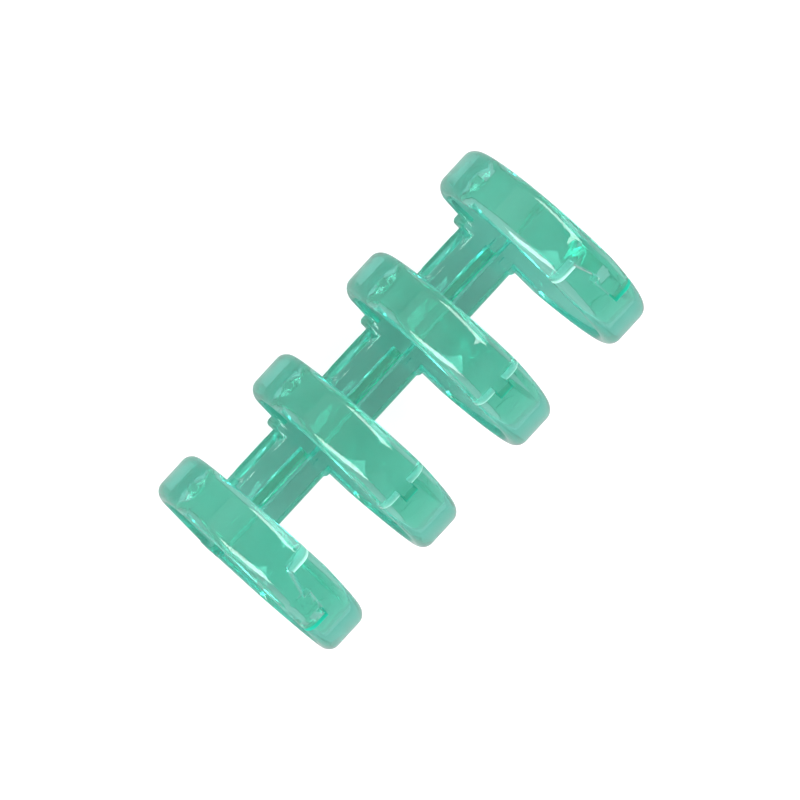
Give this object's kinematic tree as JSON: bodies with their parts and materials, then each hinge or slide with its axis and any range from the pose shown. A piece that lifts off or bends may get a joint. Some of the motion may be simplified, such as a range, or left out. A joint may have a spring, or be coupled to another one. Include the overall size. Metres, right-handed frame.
{
  "type": "ring binding comb",
  "caption": "Opening ring comb for loose leaves: two clear plastic half combs hinged along a flat spine, locked shut by barbed tongues on the end rings.",
  "frame": {"origin": "middle of the spine's flat underside", "axes": "+X along the spine, +Z from the flat underside up to the joints of the rings, -Y towards the half that opens"},
  "size_m": [0.0326, 0.0164, 0.0143],
  "materials": {
    "clear_teal": "polished, see-through"
  },
  "bodies": {
    "rear_half": {"rear_half_comb": "clear_teal"},
    "front_half": {"front_half_comb": "clear_teal", "front_latch_tongue_left": "clear_teal", "front_latch_tongue_right": "clear_teal"}
  },
  "joints": [
    {"name": "spine_hinge", "type": "hinge", "parent": "rear_half", "child": "front_half", "pos_m": [0, 0, 0.0008], "axis": [1, 0, 0], "range_deg": [0, 60], "deforming": ["front_latch_tongue_left", "front_latch_tongue_right"]}
  ]
}
